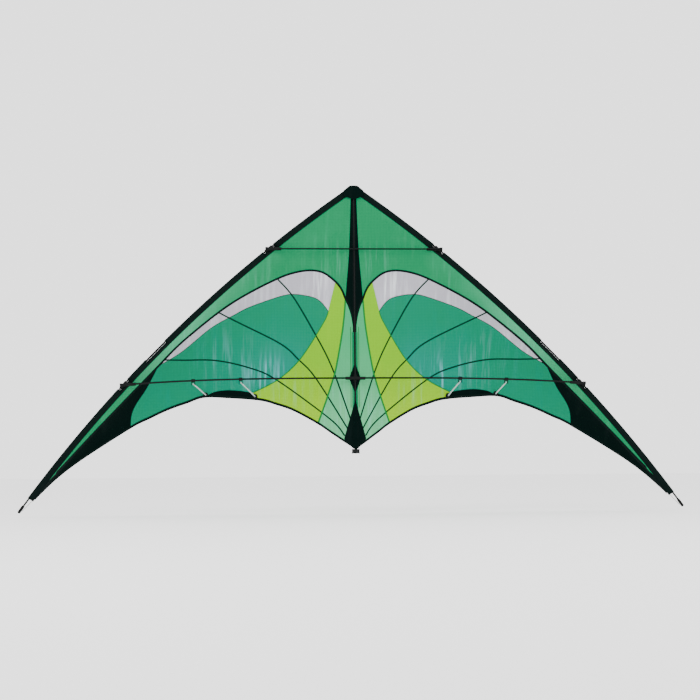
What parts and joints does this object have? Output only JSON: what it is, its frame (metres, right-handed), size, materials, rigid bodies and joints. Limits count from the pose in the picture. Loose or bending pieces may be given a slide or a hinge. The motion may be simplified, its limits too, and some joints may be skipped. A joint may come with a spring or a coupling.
{
  "type": "stunt kite",
  "caption": "Swept delta stunt kite with a billowed panelled sail, carbon tube frame, spreaders and stand-offs, and wings that fold back along the spine.",
  "frame": {"origin": "centre of the tee, in the plane of the leading edges", "axes": "+X to the right wing as the flyer sees it, +Y away from the flyer, +Z to the nose"},
  "size_m": [2.2784, 0.1426, 1.1106],
  "materials": {
    "black_cloth": "matte woven",
    "emerald_cloth": "matte ripstop",
    "silver_laminate": "glossy laminate",
    "teal_cloth": "matte ripstop",
    "lime_cloth": "matte ripstop",
    "pale_green_cloth": "matte ripstop",
    "carbon": "wound carbon fibre",
    "vinyl": "moulded",
    "fibreglass": "smooth",
    "cord": "braided"
  },
  "bodies": {
    "keel": {"spine": "carbon", "spine_cap": "vinyl", "centre_tee": "vinyl", "centre_tape": "pale_green_cloth", "tail_patch": "black_cloth", "nose_cover": "black_cloth", "tail_loop": "black_cloth"},
    "left_wing": {"left_centre_wedge": "black_cloth", "left_leading_panel": "emerald_cloth", "left_silver_crescent": "silver_laminate", "left_teal_panel": "teal_cloth", "left_lime_panel": "lime_cloth", "left_pale_panel": "pale_green_cloth", "left_scuff_patch": "black_cloth", "left_tip_panel": "black_cloth", "left_tee_patch": "black_cloth", "left_trailing_hem": "black_cloth", "left_edge_sleeve": "black_cloth", "left_upper_edge_tube": "carbon", "left_lower_edge_tube": "carbon", "left_edge_ferrule": "carbon", "left_nock": "vinyl", "left_tension_cord": "cord", "left_upper_fitting": "vinyl", "left_lower_fitting": "vinyl", "left_inner_standoff_foot": "vinyl", "left_outer_standoff_foot": "vinyl"},
    "left_lower_spreader": {"left_lower_spreader": "carbon", "left_inner_clip": "vinyl", "left_outer_clip": "vinyl"},
    "left_inner_standoff": {"left_inner_standoff": "fibreglass"},
    "left_outer_standoff": {"left_outer_standoff": "fibreglass"},
    "right_wing": {"right_centre_wedge": "black_cloth", "right_leading_panel": "emerald_cloth", "right_silver_crescent": "silver_laminate", "right_teal_panel": "teal_cloth", "right_lime_panel": "lime_cloth", "right_pale_panel": "pale_green_cloth", "right_scuff_patch": "black_cloth", "right_tip_panel": "black_cloth", "right_tee_patch": "black_cloth", "right_trailing_hem": "black_cloth", "right_edge_sleeve": "black_cloth", "right_upper_edge_tube": "carbon", "right_lower_edge_tube": "carbon", "right_edge_ferrule": "carbon", "right_nock": "vinyl", "right_tension_cord": "cord", "right_upper_fitting": "vinyl", "right_lower_fitting": "vinyl", "right_inner_standoff_foot": "vinyl", "right_outer_standoff_foot": "vinyl"},
    "right_lower_spreader": {"right_lower_spreader": "carbon", "right_inner_clip": "vinyl", "right_outer_clip": "vinyl"},
    "right_inner_standoff": {"right_inner_standoff": "fibreglass"},
    "right_outer_standoff": {"right_outer_standoff": "fibreglass"},
    "upper_spreader": {"upper_spreader": "carbon"}
  },
  "joints": [
    {"name": "left_wing_fold", "type": "hinge", "parent": "keel", "child": "left_wing", "pos_m": [0, 0, 0], "axis": [0, 0, -1], "range_deg": [0, 55]},
    {"name": "left_spreader_lift", "type": "hinge", "parent": "left_wing", "child": "left_lower_spreader", "pos_m": [-0.787, -0.0115, -0.0201], "axis": [0, -1, 0], "range_deg": [0, 34]},
    {"name": "left_inner_standoff_drop", "type": "hinge", "parent": "left_wing", "child": "left_inner_standoff", "pos_m": [-0.338, 0.11017, -0.056], "axis": [1, 0, 0], "range_deg": [0, 75]},
    {"name": "left_outer_standoff_drop", "type": "hinge", "parent": "left_wing", "child": "left_outer_standoff", "pos_m": [-0.507, 0.11699, -0.05], "axis": [1, 0, 0], "range_deg": [0, 75]},
    {"name": "right_wing_fold", "type": "hinge", "parent": "keel", "child": "right_wing", "pos_m": [0, 0, 0], "axis": [0, 0, 1], "range_deg": [0, 55]},
    {"name": "right_spreader_lift", "type": "hinge", "parent": "right_wing", "child": "right_lower_spreader", "pos_m": [0.787, -0.0115, -0.0201], "axis": [0, 1, 0], "range_deg": [0, 34]},
    {"name": "right_inner_standoff_drop", "type": "hinge", "parent": "right_wing", "child": "right_inner_standoff", "pos_m": [0.338, 0.11017, -0.056], "axis": [1, 0, 0], "range_deg": [0, 75]},
    {"name": "right_outer_standoff_drop", "type": "hinge", "parent": "right_wing", "child": "right_outer_standoff", "pos_m": [0.507, 0.11699, -0.05], "axis": [1, 0, 0], "range_deg": [0, 75]},
    {"name": "upper_spreader_lift", "type": "hinge", "parent": "left_wing", "child": "upper_spreader", "pos_m": [-0.293, -0.0115, 0.44322], "axis": [0, -1, 0], "range_deg": [0, 27]}
  ]
}
